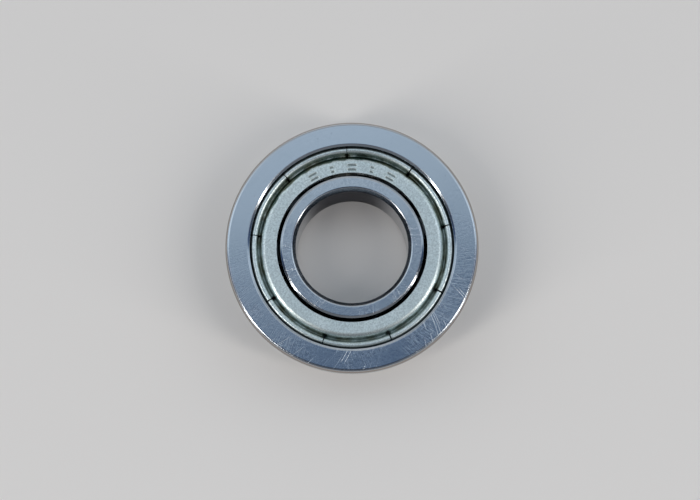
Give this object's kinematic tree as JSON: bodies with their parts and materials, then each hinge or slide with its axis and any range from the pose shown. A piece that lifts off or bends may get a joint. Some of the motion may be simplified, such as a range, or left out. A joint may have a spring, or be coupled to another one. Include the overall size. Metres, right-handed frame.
{
  "type": "flanged ball bearing",
  "caption": "Miniature deep-groove ball bearing with a flanged outer ring, metal shields, balls in a riveted ribbon cage, and a free-turning inner ring.",
  "frame": {"origin": "centre of the back face (the face away from the flange), on the bearing's axis", "axes": "+Z along the bearing's axis from the back face towards the flanged front face; X and Y are radial, with ball_1 on +X"},
  "size_m": [0.018, 0.018, 0.005],
  "materials": {
    "ring_steel": "ground",
    "ball_steel": "mirror polished",
    "shield_steel": "satin, fine grained",
    "cage_steel": "pressed, satin",
    "rivet_steel": "satin"
  },
  "bodies": {
    "outer": {"outer_ring": "ring_steel", "shield_front": "shield_steel", "shield_back": "shield_steel"},
    "inner": {"inner_ring": "ring_steel"},
    "cage": {"cage_half_front": "cage_steel", "cage_half_back": "cage_steel", "rivet_1": "rivet_steel", "rivet_2": "rivet_steel", "rivet_3": "rivet_steel", "rivet_4": "rivet_steel", "rivet_5": "rivet_steel", "rivet_6": "rivet_steel", "rivet_7": "rivet_steel", "rivet_8": "rivet_steel", "rivet_9": "rivet_steel"},
    "ball_1": {"ball_1": "ball_steel"},
    "ball_2": {"ball_2": "ball_steel"},
    "ball_3": {"ball_3": "ball_steel"},
    "ball_4": {"ball_4": "ball_steel"},
    "ball_5": {"ball_5": "ball_steel"},
    "ball_6": {"ball_6": "ball_steel"},
    "ball_7": {"ball_7": "ball_steel"},
    "ball_8": {"ball_8": "ball_steel"},
    "ball_9": {"ball_9": "ball_steel"}
  },
  "joints": [
    {"name": "inner_spin", "type": "hinge", "parent": "outer", "child": "inner", "pos_m": [0, 0, 0.0025], "axis": [0, 0, 1], "continuous": true},
    {"name": "cage_orbit", "type": "hinge", "parent": "outer", "child": "cage", "pos_m": [0, 0, 0.0025], "axis": [0, 0, 1], "continuous": true},
    {"name": "ball_1_spin", "type": "hinge", "parent": "cage", "child": "ball_1", "pos_m": [0.006, 0, 0.0025], "axis": [0, 0, 1], "continuous": true},
    {"name": "ball_2_spin", "type": "hinge", "parent": "cage", "child": "ball_2", "pos_m": [0.0046, 0.00386, 0.0025], "axis": [0, 0, 1], "continuous": true},
    {"name": "ball_3_spin", "type": "hinge", "parent": "cage", "child": "ball_3", "pos_m": [0.00104, 0.00591, 0.0025], "axis": [0, 0, 1], "continuous": true},
    {"name": "ball_4_spin", "type": "hinge", "parent": "cage", "child": "ball_4", "pos_m": [-0.003, 0.0052, 0.0025], "axis": [0, 0, 1], "continuous": true},
    {"name": "ball_5_spin", "type": "hinge", "parent": "cage", "child": "ball_5", "pos_m": [-0.00564, 0.00205, 0.0025], "axis": [0, 0, 1], "continuous": true},
    {"name": "ball_6_spin", "type": "hinge", "parent": "cage", "child": "ball_6", "pos_m": [-0.00564, -0.00205, 0.0025], "axis": [0, 0, 1], "continuous": true},
    {"name": "ball_7_spin", "type": "hinge", "parent": "cage", "child": "ball_7", "pos_m": [-0.003, -0.0052, 0.0025], "axis": [0, 0, 1], "continuous": true},
    {"name": "ball_8_spin", "type": "hinge", "parent": "cage", "child": "ball_8", "pos_m": [0.00104, -0.00591, 0.0025], "axis": [0, 0, 1], "continuous": true},
    {"name": "ball_9_spin", "type": "hinge", "parent": "cage", "child": "ball_9", "pos_m": [0.0046, -0.00386, 0.0025], "axis": [0, 0, 1], "continuous": true}
  ],
  "couplings": [
    {"joint": "cage_orbit", "follows": "inner_spin", "ratio": 0.40079},
    {"joint": "ball_1_spin", "follows": "inner_spin", "ratio": -2.4207},
    {"joint": "ball_2_spin", "follows": "inner_spin", "ratio": -2.4207},
    {"joint": "ball_3_spin", "follows": "inner_spin", "ratio": -2.4207},
    {"joint": "ball_4_spin", "follows": "inner_spin", "ratio": -2.4207},
    {"joint": "ball_5_spin", "follows": "inner_spin", "ratio": -2.4207},
    {"joint": "ball_6_spin", "follows": "inner_spin", "ratio": -2.4207},
    {"joint": "ball_7_spin", "follows": "inner_spin", "ratio": -2.4207},
    {"joint": "ball_8_spin", "follows": "inner_spin", "ratio": -2.4207},
    {"joint": "ball_9_spin", "follows": "inner_spin", "ratio": -2.4207}
  ]
}
